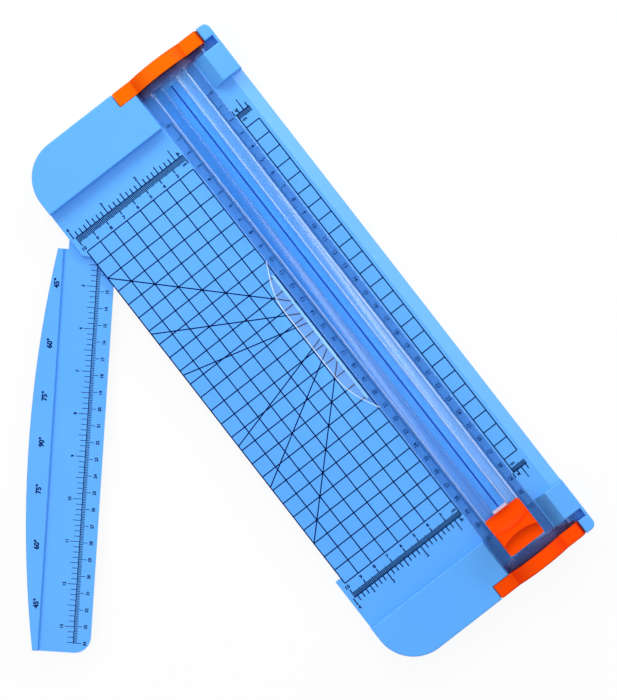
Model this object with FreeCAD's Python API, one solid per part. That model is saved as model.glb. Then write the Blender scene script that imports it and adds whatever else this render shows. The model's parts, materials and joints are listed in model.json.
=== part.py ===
import FreeCAD, Part
import math
import os

# A slide-rail paper trimmer. Millimetres. X runs along the cut, +Y towards the hinge side, Z up,
# with the desk at zero and the cut line on Y = 0 while the pieces are modelled.

# Base, seen from above
base_length = 378.0
wide_depth = 104.0
depth_behind_hinge = 11.85
wide_corner_r = 25.0
narrow_corner_r = 4.0
inside_corner_r = 1.5

# Base heights: rim and bed above the desk, blocks and notches from the bed
rim_height = 1.2
bed_height = 11.0
block_rise = 8.0
notch_drop = 2.0
plate = 2.2
wall = 2.2
rib = 1.6
cell_limit = 35.2

# Raised blocks, posts and slots at both ends
wide_block_length = 34.0
narrow_block_length = 34.3
flat_before_hinge = 1.0
slot_end_wall = 1.85
pin_housing_wall = 2.0
cap_gap = 0.3
swing_gap = 0.4
bevel_width = 7.55
bevel_drop = 4.5
bevel_land = 1.9
block_edge_r = 0.8
bed_edge_r = 0.5

# Recess in the wide edge that takes the stored ruler's raised strip
recess_side_gap = 0.2
recess_chamfer = 4.0

# Strip under the blade
strip_inset = 2.4
strip_half_width = 4.6
strip_thick = 1.6
strip_fit = 0.1
strip_groove_half = 0.35
strip_groove_depth = 1.2
strip_groove_end = 1.4
strip_seat_side = 2.4

# Feet, measured in from the base's ends and long edges
foot_r = 5.0
foot_height = 2.4
foot_fit = 0.3
foot_pad_wall = 2.2
foot_wide_inset_x = 18.0
foot_wide_inset_y = 19.0
foot_narrow_inset_x = 23.0
foot_narrow_inset_y = 12.45

# Swing-out ruler: its pivot and its far end from the base's edges, then along it and across it from the pivot
pivot_inset_x = 49.0
pivot_inset_y = 17.45
ruler_far_inset = 69.8
ruler_rest_angle = -41.54
ruler_end_r = 16.7
ruler_neck = 11.3
strip_start = 19.2
fold_offset = 14.15
bow_end_offset = 17.6
bow_mid_offset = 27.5
ruler_thick = 2.6
ruler_gap = 0.3
bow_raise = 2.3
bow_wall = 2.2
bow_top = 2.2
bow_hollow_inset = 26.0
far_corner_r = 9.5
ruler_edge_r = 0.6
pocket_clear = 1.3
pocket_end_clear = 3.4

# Ruler pivot
boss_r = 3.9
running_fit = 0.05
washer_r = 7.0
washer_thick = 1.0
pivot_head_r = 3.6
pivot_head_height = 2.0
pivot_shank_r = 1.25
pivot_shank_length = 4.2
press_fit = 0.02

# Clear rail
rail_gap = 0.3
rail_side_gap = 0.8
wide_flange = 6.9
narrow_flange = 6.3
flange_thick = 2.0
ridge_height = 9.5
ridge_outer = 12.4
ridge_draft = 0.5
ridge_edge_r = 0.9
flange_edge_r = 0.4
channel_half = 5.0
channel_floor = 1.6
slit_half = 0.5
slit_end = 2.1
groove_depth = 1.0
groove_rise = 0.7
groove_height = 2.0
ridge_inner_wall = 1.2
ridge_outer_wall = 2.0
ridge_roof = 1.6
end_wall = 1.6
end_zone = 5.2
hood_gap = 0.2
hood_end_gap = 0.6
hood_tail_gap = 1.0
hood_thick = 1.8
ear_r = 3.2
ear_taper_start = 0.4
ear_thick = 1.5

# Hinge of the lifting rail
hinge_behind_flange = 8.9
knuckle_r = 4.0
pin_r = 1.25
pin_in_block = 5.8
pin_in_cap = 5.8

# End caps
cap_width = 9.0
cap_end_y = 31.4
cap_wall = 2.4
cap_hinge_block = 6.0
cap_floor_gap = 0.3
cap_end_draft = 0.5
arch_half = 18.2
arch_rise = 7.5
cap_edge_r = 1.0

# Finger tab on the rail's wide flange
tab_half = 55.0
tab_flat_half = 24.0
tab_reach = 10.1
tab_bend = 3.2
tab_rise = 4.2
tab_thick = 1.6
tab_root_share = 0.3
tab_drop_share = 0.48
tab_tip_share = 0.42
tab_lap = 1.0

# Screws that hold the caps on the rail
cap_screw_y = 3.0
cap_screw_inset = 3.4
cap_screw_r = 1.0
cap_screw_head_r = 1.9
cap_screw_head = 1.4
cap_screw_bite = 1.4
screw_fit = 0.1

# Knob
knob_length = 25.6
knob_width = 24.7
knob_height = 8.9
knob_corner_r = 1.5
knob_edge_r = 0.8
knob_wall = 1.8
knob_side_wall = 3.0
press_travel = 3.0
press_clear = 0.4
ceiling_clear = 0.9
grip_x = 1.5
grip_half = 1.5
hollow_depth = 3.2
hollow_r = 10.0
hollow_plan_r = 30.0

# Carriage, modelled where it stands in the photograph
park_gap = 2.2
shoe_reach = 1.0
shoe_rise = 1.7
shoe_end_rise = 0.4
shoe_side_gap = 0.3
shoe_lift = 0.3
tongue_fit = 0.3
tongue_reach = 0.7
well_r = 1.75
well_wall = 0.4
well_side = 1.5
well_web = 0.5
spring_r = 1.25
spring_wire = 0.4
spring_turns = 5
spring_seat = 0.05
turn_steps = 4

# Blade holder and blade
holder_half_width = 2.6
holder_gap = 0.3
lug_height = 1.3
lug_reach = 1.1
holder_lip = 1.0
holder_flange = 1.6
blade_cover = 0.8
blade_thick = 0.4
blade_clear = 0.4
blade_head = 2.4
blade_fit = 0.05
blade_pin_r = 0.8
blade_pin_drop = 3.0
holder_screw_inset = 2.05
holder_screw_r = 1.0
holder_screw_head_r = 1.8
holder_screw_head = 1.2
holder_screw_bite = 2.6

# How far a cutting solid runs past the face that it opens
over = 1.0

# Lengths closer than this count as equal when edges are picked
length_tolerance = 0.001

# Places along the cut that follow from the sizes above
half = base_length / 2
cap_inner_x = half - cap_width
slot_x = cap_inner_x - end_zone
notch_x = cap_inner_x - cap_gap + swing_gap / 2
wide_block_x = half - wide_block_length
narrow_block_x = half - narrow_block_length
pin_housing_x = slot_x - pin_in_block - pin_housing_wall
strip_half_length = slot_x - strip_inset
hood_end_x = half - cap_wall - hood_end_gap
pivot_x = pivot_inset_x - half
ruler_length = half - ruler_far_inset - pivot_x
recess_half = recess_side_gap - strip_start - pivot_x
pocket_left = pivot_x - ruler_end_r - pocket_clear
pocket_right = pivot_x + ruler_length + pocket_end_clear
end_cell_x = -pocket_left + wall

# Places across the cut
flange_wide_y = ridge_outer + wide_flange
flange_narrow_y = ridge_outer + narrow_flange
wide_block_y = flange_wide_y + rail_side_gap
narrow_block_y = flange_narrow_y + rail_side_gap
hinge_y = flange_narrow_y + hinge_behind_flange
narrow_flat_y = hinge_y - flat_before_hinge
narrow_depth = hinge_y + depth_behind_hinge
slot_end_y = narrow_depth - slot_end_wall
wide_notch_y = -cap_end_y - swing_gap
narrow_notch_y = hinge_y + knuckle_r + cap_gap
cap_cavity_y = hinge_y - cap_hinge_block
hood_tail_y = cap_cavity_y - hood_tail_gap
pivot_y = pivot_inset_y - wide_depth
pocket_back = pivot_y + ruler_end_r + pocket_clear
recess_back = pivot_y - fold_offset + ruler_gap
strip_rib_half = strip_half_width + strip_seat_side

# Heights of the base, the ruler and the rail
bed_under = bed_height - plate
block_height = bed_height + block_rise
notch_height = bed_height - notch_drop
ruler_top = bed_under - ruler_gap
ruler_bottom = ruler_top - ruler_thick
boss_bottom = ruler_bottom - ruler_gap
hinge_z = block_height - knuckle_r
rail_bottom = bed_height + rail_gap
flange_top = rail_bottom + flange_thick
ridge_top = rail_bottom + ridge_height
channel_z = rail_bottom + channel_floor
groove_floor = channel_z + groove_rise
cap_top = block_height + arch_rise
cap_bottom = notch_height + cap_floor_gap
hood_inset = cap_wall + hood_gap

# Sizes of the carriage, the knob and what they hold
shoe_half_length = knob_length / 2 + shoe_reach
carriage_x = slot_x - shoe_half_length - park_gap
shoe_top = ridge_top + shoe_rise
shoe_end_top = ridge_top + shoe_end_rise
knob_bottom = shoe_end_top + press_travel + press_clear
knob_top = knob_bottom + knob_height
knob_ceiling = shoe_top + press_travel + ceiling_clear
flange_top_z = knob_ceiling + holder_flange
knob_cavity_half_length = knob_length / 2 - knob_wall
knob_cavity_half_width = knob_width / 2 - knob_side_wall
spring_x = knob_cavity_half_length - shoe_side_gap - well_wall - well_r
holder_half_length = spring_x - well_r - well_side - holder_gap
holder_foot = channel_z + press_travel + press_clear
ledge_height = holder_foot + lug_height + holder_gap
well_floor = ledge_height + well_web
flange_half_length = holder_half_length + holder_lip
flange_half_width = knob_cavity_half_width - holder_gap
holder_screw_y = flange_half_width - holder_screw_inset
blade_half_length = holder_half_length - blade_cover
blade_tip = bed_height - strip_groove_depth + blade_clear + press_travel
blade_shoulder = blade_tip + blade_half_length
blade_top = knob_ceiling - blade_head
blade_pin_z = blade_top - blade_pin_drop


def point(x, y, z):
    return FreeCAD.Vector(x, y, z)


def box(x0, x1, y0, y1, z0, z1):
    return Part.makeBox(x1 - x0, y1 - y0, z1 - z0, point(x0, y0, z0))


def end_box(side, near, far, y0, y1, z0, z1):
    """A box between two distances from the middle, at the end that side names."""
    ends = sorted((side * near, side * far))
    return box(ends[0], ends[1], y0, y1, z0, z1)


def rod(radius, x, y, z0, z1):
    return Part.makeCylinder(radius, z1 - z0, point(x, y, z0))


def rod_x(radius, x0, x1, y, z):
    return Part.makeCylinder(radius, x1 - x0, point(x0, y, z), point(1, 0, 0))


def prism(points, direction):
    """Extrude the closed polygon through the points."""
    return Part.Face(Part.makePolygon(points + points[:1])).extrude(direction)


def prism_of_edges(edges, direction):
    return Part.Face(Part.Wire(Part.__sortEdges__(edges))).extrude(direction)


def joined(shapes):
    return shapes[0].multiFuse(shapes[1:]).removeSplitter()


def intervals(low, high, gap):
    """Split a span into equal cells no longer than the limit, with a rib between each two."""
    count = math.ceil((high - low + gap) / (cell_limit + gap))
    step = (high - low + gap) / count
    return [(low + i * step, low + (i + 1) * step - gap) for i in range(count)]


def upright_edges(solid, low_y, high_y):
    chosen = []
    for edge in solid.Edges:
        bounds = edge.BoundBox
        if bounds.ZLength > bounds.XLength + bounds.YLength and low_y < bounds.Center.y < high_y:
            chosen.append(edge)
    return chosen


def level_edges(solid, height):
    """Edges that lie flat at one height."""
    return [edge for edge in solid.Edges
            if abs(edge.BoundBox.ZMin - height) + abs(edge.BoundBox.ZMax - height) < length_tolerance]


def base_slab(z0, z1, inset, small_r):
    slab = box(-half + inset, half - inset, -wide_depth + inset, narrow_depth - inset, z0, z1)
    slab = slab.makeFillet(wide_corner_r - inset, upright_edges(slab, -base_length, 0))
    return slab.makeFillet(small_r, upright_edges(slab, 0, base_length))


def narrow_block(side):
    """Block on the hinge side with a sloped face towards the rail."""
    x = min(side * narrow_block_x, side * slot_x)
    outline = [
        point(x, narrow_block_y, bed_height - over),
        point(x, narrow_block_y, bed_height),
        point(x, narrow_flat_y, block_height),
        point(x, narrow_depth, block_height),
        point(x, narrow_depth, bed_height - over),
    ]
    return prism(outline, point(slot_x - narrow_block_x, 0, 0))


def base_blocks():
    blocks = []
    low = bed_height - over
    for side in (-1, 1):
        blocks.append(end_box(side, wide_block_x, half, -wide_depth, -wide_block_y, low, block_height))
        blocks.append(narrow_block(side))
        blocks.append(end_box(side, slot_x - over, half, slot_end_y, narrow_depth, low, block_height))
        blocks.append(end_box(side, notch_x, half, narrow_notch_y, narrow_depth, low, block_height))
    return joined(blocks).common(base_slab(low, block_height, 0, narrow_corner_r))


def end_notches():
    """Room for the end caps and for the ends of the clear rail."""
    cuts = []
    high = block_height + over
    for side in (-1, 1):
        cuts.append(end_box(side, notch_x, half + over, wide_notch_y, narrow_notch_y, notch_height, high))
        cuts.append(end_box(side, slot_x, notch_x + cap_gap, -wide_block_y, slot_end_y, notch_height, high))
    return cuts


def edge_bevel():
    """Slope along the hinge side, between the two narrow blocks."""
    x = -narrow_block_x
    outline = [
        point(x, narrow_depth - bevel_width, bed_height),
        point(x, narrow_depth + over, bed_height - bevel_drop * (bevel_width + over) / bevel_width),
        point(x, narrow_depth + over, bed_height + over),
        point(x, narrow_depth - bevel_width, bed_height + over),
    ]
    return prism(outline, point(2 * narrow_block_x, 0, 0))


def strip_recess():
    outer = -wide_depth - over
    slant = recess_chamfer * (recess_back - outer) / (recess_back + wide_depth)
    outline = [
        point(-recess_half - slant, outer, 0),
        point(-recess_half, recess_back, 0),
        point(recess_half, recess_back, 0),
        point(recess_half, outer, 0),
    ]
    return prism(outline, point(0, 0, block_height))


def bed_cells():
    """Cells between the ribs under the bed, clear of the ruler's pocket."""
    low = rim_height - over
    side_limit = -pocket_left
    back = pocket_back + wall
    rows = [(strip_rib_half + rib, narrow_depth - bevel_width - bevel_land, bed_under)]
    rows.append((-strip_rib_half, strip_rib_half, bed_under - strip_thick))
    rows += [(a, b, bed_under) for a, b in intervals(back, -strip_rib_half - rib, rib)]
    cells = []
    for x0, x1 in intervals(-side_limit, side_limit, rib):
        for y0, y1, top in rows:
            cells.append(box(x0, x1, y0, y1, low, top))
        y1 = narrow_depth - wall
        cells.append(box(x0, x1, rows[0][0], y1, low, bed_height - bevel_drop - plate))
    corner = pocket_right + wall
    cells.append(box(corner, side_limit, -wide_depth + wall, pocket_back, low, bed_under))
    return cells


def end_cells(side):
    """Cells under the blocks and notches at one end."""
    low = rim_height - over
    inner = end_cell_x
    outer = half - wall
    under_notch = notch_height - plate
    roof = block_height - plate
    block_y = wide_notch_y - wall
    cells = []
    for y0, y1 in intervals(-wide_depth + wall, narrow_depth - wall, rib):
        cells.append(end_box(side, inner, outer, y0, y1, low, under_notch))
        if y0 < block_y:
            cells.append(end_box(side, inner, outer, y0, min(y1, block_y), low, roof))
        if y0 < -wide_block_y - wall:
            top_y = min(y1, -wide_block_y - wall)
            cells.append(end_box(side, inner, notch_x - wall, y0, top_y, low, roof))
        if y1 > narrow_flat_y:
            start = max(y0, narrow_flat_y)
            cells.append(end_box(side, inner, pin_housing_x, start, y1, low, roof))
    return cells


def foot_places():
    """Name, place and top of the pad above each foot."""
    wide_x = half - foot_wide_inset_x
    wide_y = foot_wide_inset_y - wide_depth
    narrow_x = half - foot_narrow_inset_x
    narrow_y = narrow_depth - foot_narrow_inset_y
    places = []
    for side, end in ((-1, "left"), (1, "right")):
        places.append(("wide_" + end, side * wide_x, wide_y, block_height - plate / 2))
        places.append(("narrow_" + end, side * narrow_x, narrow_y, notch_height - plate / 2))
    return places


def ruler_pocket():
    return box(pocket_left, pocket_right, -wide_depth - over, pocket_back, rim_height - over, bed_under)


def base_shell():
    shell = joined([base_slab(rim_height, bed_height, 0, narrow_corner_r), base_blocks()])
    cuts = end_notches() + [edge_bevel(), strip_recess()]
    channel_x = strip_half_length + strip_fit
    channel_y = strip_half_width + strip_fit
    channel_floor_z = bed_height - strip_thick
    cuts.append(box(-channel_x, channel_x, -channel_y, channel_y, channel_floor_z, bed_height + over))
    shell = shell.cut(cuts)
    front = [edge for edge in level_edges(shell, bed_height) if edge.BoundBox.YMax < recess_back + length_tolerance]
    shell = shell.makeFillet(bed_edge_r, front)
    shell = shell.makeFillet(block_edge_r, level_edges(shell, block_height))
    inner = base_slab(rim_height - over, block_height, wall, inside_corner_r)
    hollow = Part.makeCompound(bed_cells() + end_cells(-1) + end_cells(1)).common(inner)
    shell = shell.cut([hollow, ruler_pocket()])
    pads = [rod(foot_r + foot_fit + foot_pad_wall, x, y, rim_height, top) for _, x, y, top in foot_places()]
    boss = rod(boss_r, pivot_x, pivot_y, boss_bottom, bed_height - plate / 2)
    shell = joined([shell, boss] + pads)
    holes = [rod(foot_r + foot_fit, x, y, 0, foot_height) for _, x, y, _ in foot_places()]
    tip = boss_bottom + pivot_shank_length + over / 2
    holes.append(rod(pivot_shank_r + press_fit, pivot_x, pivot_y, boss_bottom - over, tip))
    start = slot_x - pin_in_block
    for x0, x1 in ((-slot_x - over, -start), (start, slot_x + over)):
        holes.append(rod_x(pin_r + press_fit, x0, x1, hinge_y, hinge_z))
    return shell.cut(holes)


def cutting_strip():
    bottom = bed_height - strip_thick
    strip = box(-strip_half_length, strip_half_length, -strip_half_width, strip_half_width, bottom, bed_height)
    end = strip_half_length - strip_groove_end
    floor = bed_height - strip_groove_depth
    return strip.cut(box(-end, end, -strip_groove_half, strip_groove_half, floor, bed_height + over))


def foot(x, y):
    return rod(foot_r, x, y, 0, foot_height)


def pivot_washer():
    ring = rod(washer_r, pivot_x, pivot_y, boss_bottom - washer_thick, boss_bottom)
    hole = pivot_shank_r + screw_fit
    return ring.cut(rod(hole, pivot_x, pivot_y, boss_bottom - washer_thick - over, boss_bottom + over))


def pivot_screw():
    seat = boss_bottom - washer_thick
    head = rod(pivot_head_r, pivot_x, pivot_y, seat - pivot_head_height, seat)
    shank = rod(pivot_shank_r, pivot_x, pivot_y, seat - over, boss_bottom + pivot_shank_length)
    return joined([head, shank])


def ruler_outline(offset_y):
    """Closed outline of the whole ruler, its bowed side towards -Y."""
    turn = math.sqrt(ruler_end_r ** 2 - ruler_neck ** 2)
    near = point(0, ruler_end_r, offset_y)
    neck = point(-turn, -ruler_neck, offset_y)
    step = point(strip_start, -ruler_neck, offset_y)
    bow_near = point(strip_start, -bow_end_offset, offset_y)
    bow_mid = point((strip_start + ruler_length) / 2, -bow_mid_offset, offset_y)
    bow_far = point(ruler_length, -bow_end_offset, offset_y)
    corner_in = point(ruler_length, ruler_end_r - far_corner_r, offset_y)
    corner_out = point(ruler_length - far_corner_r, ruler_end_r, offset_y)
    lean = far_corner_r * (1 - math.sqrt(0.5))
    corner_mid = point(ruler_length - lean, ruler_end_r - lean, offset_y)
    return [
        Part.Arc(near, point(-ruler_end_r, 0, offset_y), neck).toShape(),
        Part.makeLine(neck, step),
        Part.makeLine(step, bow_near),
        Part.Arc(bow_near, bow_mid, bow_far).toShape(),
        Part.makeLine(bow_far, corner_in),
        Part.Arc(corner_in, corner_mid, corner_out).toShape(),
        Part.makeLine(corner_out, near),
    ]


def bow_hollow():
    """Hollow under the raised strip."""
    z = ruler_bottom - over
    near_x = strip_start + bow_hollow_inset
    far_x = ruler_length - bow_hollow_inset
    flat = -fold_offset - bow_wall
    bow_rise = bow_mid_offset - bow_end_offset
    half_span = (ruler_length - strip_start) / 2
    drop_share = ((half_span - bow_hollow_inset) / half_span) ** 2
    end_y = -(bow_mid_offset - bow_rise * drop_share) + bow_wall
    mid = point((near_x + far_x) / 2, -bow_mid_offset + bow_wall, z)
    edges = [
        Part.makeLine(point(near_x, flat, z), point(near_x, end_y, z)),
        Part.Arc(point(near_x, end_y, z), mid, point(far_x, end_y, z)).toShape(),
        Part.makeLine(point(far_x, end_y, z), point(far_x, flat, z)),
        Part.makeLine(point(far_x, flat, z), point(near_x, flat, z)),
    ]
    height = ruler_top + bow_raise - bow_top - z
    return prism_of_edges(edges, point(0, 0, height))


def extension_ruler():
    body = prism_of_edges(ruler_outline(ruler_bottom), point(0, 0, ruler_thick + bow_raise))
    reach = ruler_end_r + over
    past = ruler_top + bow_raise + over
    body = body.cut(box(-reach, ruler_length + over, -fold_offset, reach, ruler_top, past))
    body = body.cut(box(-reach, strip_start, -reach, reach, ruler_top, past))
    body = body.makeFillet(ruler_edge_r, level_edges(body, ruler_top + bow_raise))
    body = body.cut(bow_hollow())
    body = body.cut(rod(boss_r + running_fit, 0, 0, ruler_bottom - over, past))
    body.rotate(point(0, 0, 0), point(0, 0, 1), ruler_rest_angle)
    body.translate(point(pivot_x, pivot_y, 0))
    return body


def arch_top(x, inset, low_y, high_y):
    """Edges along the top, flat at both ends with a round arch between them."""
    shoulder = block_height - inset
    arch = Part.Arc(point(x, -arch_half, shoulder), point(x, 0, cap_top - inset), point(x, arch_half, shoulder))
    return [
        Part.makeLine(point(x, low_y, shoulder), point(x, -arch_half, shoulder)),
        arch.toShape(),
        Part.makeLine(point(x, arch_half, shoulder), point(x, high_y, shoulder)),
    ]


def arch_solid(x0, x1, inset, low_y, high_y, bottom):
    """What lies under the arch between two limits across the cut."""
    reach = max(arch_half, high_y, -low_y) + over
    shoulder = block_height - inset
    edges = arch_top(x0, inset, -reach, reach)
    edges.append(Part.makeLine(point(x0, reach, shoulder), point(x0, reach, bottom)))
    edges.append(Part.makeLine(point(x0, reach, bottom), point(x0, -reach, bottom)))
    edges.append(Part.makeLine(point(x0, -reach, bottom), point(x0, -reach, shoulder)))
    solid = prism_of_edges(edges, point(x1 - x0, 0, 0))
    return solid.common(box(x0, x1, low_y, high_y, bottom, cap_top))


def cap_blank(x0, x1):
    """The cap's outer form, round about the hinge pin."""
    edges = arch_top(x0, 0, -cap_end_y, hinge_y)
    side = point(x0, hinge_y + knuckle_r, hinge_z)
    under = point(x0, hinge_y, hinge_z - knuckle_r)
    edges.append(Part.Arc(point(x0, hinge_y, block_height), side, under).toShape())
    floor_y = hinge_y - knuckle_r
    low_end = point(x0, -cap_end_y + cap_end_draft, cap_bottom)
    edges.append(Part.makeLine(under, point(x0, floor_y, cap_bottom)))
    edges.append(Part.makeLine(point(x0, floor_y, cap_bottom), low_end))
    edges.append(Part.makeLine(low_end, point(x0, -cap_end_y, block_height)))
    return prism_of_edges(edges, point(x1 - x0, 0, 0))


def mirrored(shape, side):
    """The piece as drawn for the right end, or its mirror image for the left end."""
    if side < 0:
        return shape.mirror(point(0, 0, 0), point(1, 0, 0))
    return shape


def end_cap(side):
    cap = cap_blank(cap_inner_x, half)
    face_edges = [edge for edge in cap.Edges if edge.BoundBox.XMin > half - length_tolerance]
    cap = cap.makeFillet(cap_edge_r, [edge for edge in face_edges if edge.BoundBox.ZMax > cap_bottom + over])
    cavity_end = half - cap_wall
    low_y = -cap_end_y + cap_wall
    cuts = [arch_solid(cap_inner_x - over, cavity_end, cap_wall, low_y, cap_cavity_y, cap_bottom - over)]
    pin_end = cap_inner_x + pin_in_cap
    cuts.append(rod_x(pin_r + running_fit, cap_inner_x - over, pin_end, hinge_y, hinge_z))
    for y in (-cap_screw_y, cap_screw_y):
        roof = cap_top - cap_wall
        x = cap_inner_x + cap_screw_inset
        cuts.append(rod(cap_screw_r + press_fit, x, y, roof - over, roof + cap_screw_bite))
    return mirrored(cap.cut(cuts), side)


def cap_screws(side):
    """Two screws through the rail's hood, up into the cap's roof."""
    x = cap_inner_x + cap_screw_inset
    seat = cap_top - hood_inset - hood_thick
    screws = []
    for y in (-cap_screw_y, cap_screw_y):
        head = rod(cap_screw_head_r, x, y, seat - cap_screw_head, seat)
        tip = cap_top - cap_wall + cap_screw_bite - screw_fit
        screws.append(joined([head, rod(cap_screw_r, x, y, seat - cap_screw_head / 2, tip)]))
    return mirrored(Part.makeCompound(screws), side)


def hinge_pin(side):
    end = cap_inner_x + pin_in_cap - screw_fit
    return mirrored(rod_x(pin_r, slot_x - pin_in_block, end, hinge_y, hinge_z), side)


def rail_ridges():
    """Both ridges and flanges with the channel between them, up to the ends' inner faces."""
    x = -slot_x
    foot = ridge_outer + ridge_draft
    outline = [
        point(x, -flange_wide_y, rail_bottom),
        point(x, flange_narrow_y, rail_bottom),
        point(x, flange_narrow_y, flange_top),
        point(x, foot, flange_top),
        point(x, ridge_outer, ridge_top),
        point(x, channel_half, ridge_top),
        point(x, channel_half, channel_z),
        point(x, -channel_half, channel_z),
        point(x, -channel_half, ridge_top),
        point(x, -ridge_outer, ridge_top),
        point(x, -foot, flange_top),
        point(x, -flange_wide_y, flange_top),
    ]
    section = prism(outline, point(2 * slot_x, 0, 0))
    long_edges = [edge for edge in level_edges(section, ridge_top) if edge.BoundBox.XLength > slot_x]
    section = section.makeFillet(ridge_edge_r, long_edges)
    rims = [edge for edge in level_edges(section, flange_top) if edge.BoundBox.XLength > slot_x]
    rims = [edge for edge in rims if abs(edge.BoundBox.Center.y) > ridge_outer + ridge_draft + over]
    section = section.makeFillet(flange_edge_r, rims)
    hollow_end = slot_x - end_wall
    slit_x = slot_x - slit_end
    roof = ridge_top - ridge_roof
    groove_y = channel_half + groove_depth
    groove_top = groove_floor + groove_height
    hollow_in = groove_y + ridge_inner_wall
    hollow_out = ridge_outer - ridge_outer_wall
    cuts = [
        box(-hollow_end, hollow_end, -hollow_out, -hollow_in, rail_bottom - over, roof),
        box(-hollow_end, hollow_end, hollow_in, hollow_out, rail_bottom - over, roof),
        box(-slit_x, slit_x, -slit_half, slit_half, rail_bottom - over, channel_z + over),
        box(-slot_x, slot_x, -groove_y, groove_y, groove_floor, groove_top),
    ]
    return section.cut(cuts)


def rail_hood(side):
    """Clear end of the rail: a wall, an arched hood that fills the cap, and an ear on the pin."""
    inner = slot_x
    outer = hood_end_x
    wall_end = inner + end_wall
    plug = arch_solid(inner, outer, hood_inset, -flange_wide_y, hood_tail_y, rail_bottom)
    space_inset = hood_inset + hood_thick
    low_y = -flange_wide_y + hood_thick
    high_y = hood_tail_y - hood_thick
    space = arch_solid(wall_end, outer + over, space_inset, low_y, high_y, rail_bottom - over)
    ear_x = cap_inner_x - ear_thick
    ear_plan = [
        point(inner + ear_taper_start, flange_narrow_y, rail_bottom),
        point(ear_x, hinge_y + ear_r, rail_bottom),
        point(cap_inner_x - hood_gap / 2, hinge_y + ear_r, rail_bottom),
        point(cap_inner_x - hood_gap / 2, flange_narrow_y, rail_bottom),
    ]
    ear = prism(ear_plan, point(0, 0, cap_top))
    tongue_low = hinge_z - ear_r
    tongue = box(inner, cap_inner_x, hood_tail_y - hood_thick, hinge_y, tongue_low, hinge_z + ear_r)
    side_view = joined([tongue, rod_x(ear_r, inner, cap_inner_x, hinge_y, hinge_z)])
    hood = joined([plug.cut(space), ear.common(side_view)])
    cuts = [rod_x(pin_r + running_fit, inner, cap_inner_x + over, hinge_y, hinge_z)]
    seat = cap_top - space_inset
    for y in (-cap_screw_y, cap_screw_y):
        x = cap_inner_x + cap_screw_inset
        cuts.append(rod(cap_screw_head_r + screw_fit, x, y, seat - cap_screw_head, seat))
        cuts.append(rod(cap_screw_r + screw_fit, x, y, seat - over, cap_top))
    return mirrored(hood.cut(cuts), side)


def tab_edge(side, z):
    """Curved end of the finger tab in plan."""
    near = -flange_wide_y + tab_lap
    far = -flange_wide_y - tab_reach
    span = tab_half - tab_flat_half
    leave_x = tab_half - span * tab_root_share
    leave_y = near - tab_lap - tab_reach * tab_drop_share
    arrive_x = tab_flat_half + span * tab_tip_share
    curve = Part.BezierCurve()
    curve.setPoles([
        point(side * tab_half, near - tab_lap, z),
        point(side * leave_x, leave_y, z),
        point(side * arrive_x, far, z),
        point(side * tab_flat_half, far, z),
    ])
    return curve.toShape()


def finger_tab():
    """Crescent that curves up from the wide flange."""
    x = -tab_half
    y0 = -flange_wide_y + tab_lap
    bend_y = -flange_wide_y - tab_bend
    tip_y = -flange_wide_y - tab_reach
    thick = tab_thick
    side = [
        point(x, y0, rail_bottom),
        point(x, bend_y, rail_bottom),
        point(x, tip_y, rail_bottom + tab_rise),
        point(x, tip_y, rail_bottom + tab_rise + thick),
        point(x, bend_y, rail_bottom + thick),
        point(x, y0, rail_bottom + thick),
    ]
    band = prism(side, point(2 * tab_half, 0, 0))
    z = rail_bottom - over
    near = -flange_wide_y
    root = near + tab_lap
    tip = near - tab_reach
    edges = [
        tab_edge(-1, z),
        Part.makeLine(point(-tab_flat_half, tip, z), point(tab_flat_half, tip, z)),
        tab_edge(1, z),
        Part.makeLine(point(tab_half, near, z), point(tab_half, root, z)),
        Part.makeLine(point(tab_half, root, z), point(-tab_half, root, z)),
        Part.makeLine(point(-tab_half, root, z), point(-tab_half, near, z)),
    ]
    return band.common(prism_of_edges(edges, point(0, 0, cap_top)))


def clear_rail():
    return joined([rail_ridges(), rail_hood(-1), rail_hood(1), finger_tab()])


def carriage_shoe():
    """Clear slider in the rail's channel, with tongues in the two grooves."""
    bottom = channel_z + shoe_lift
    half_width = channel_half - shoe_side_gap
    x = shoe_half_length
    tongue_y = half_width + tongue_reach + shoe_side_gap / 2
    tongue_low = groove_floor + tongue_fit
    tongue_top = groove_floor + groove_height - tongue_fit
    body = joined([
        box(-x, x, -half_width, half_width, bottom, shoe_top),
        box(-x, x, -tongue_y, tongue_y, tongue_low, tongue_top),
    ])
    pocket_y = holder_half_width + holder_gap
    stem_x = holder_half_length + holder_gap
    lug_x = stem_x + lug_reach
    cuts = [
        box(-stem_x, stem_x, -pocket_y, pocket_y, bottom - over, shoe_top + over),
        box(-lug_x, lug_x, -pocket_y, pocket_y, bottom - over, ledge_height),
        rod(well_r, -spring_x, 0, well_floor, shoe_top + over),
        rod(well_r, spring_x, 0, well_floor, shoe_top + over),
    ]
    for side in (-1, 1):
        step_x = knob_cavity_half_length - shoe_side_gap
        cuts.append(end_box(side, step_x, x + over, -half_width, half_width, shoe_end_top, shoe_top + over))
    shoe = body.cut(cuts)
    shoe.translate(point(carriage_x, 0, 0))
    return shoe


def spring_path():
    """Centre line of one compression spring, in arcs of a quarter turn."""
    low = well_floor + spring_wire / 2 + spring_seat
    high = knob_ceiling - spring_wire / 2 - spring_seat
    pitch = (high - low) / spring_turns
    count = spring_turns * turn_steps
    places = []
    for i in range(2 * count + 1):
        turn = math.pi * i / turn_steps
        z = low + pitch * turn / (2 * math.pi)
        places.append(point(spring_r * math.cos(turn), spring_r * math.sin(turn), z))
    arcs = [Part.Arc(places[i], places[i + 1], places[i + 2]).toShape() for i in range(0, 2 * count, 2)]
    return Part.Wire(arcs)


def return_spring(side):
    path = spring_path()
    start = path.Edges[0]
    ring = Part.makeCircle(spring_wire / 2, start.valueAt(start.FirstParameter),
                           start.tangentAt(start.FirstParameter))
    spring = path.makePipeShell([Part.Wire(ring)], True, False)
    spring.translate(point(carriage_x + side * spring_x, 0, 0))
    return spring


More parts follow.
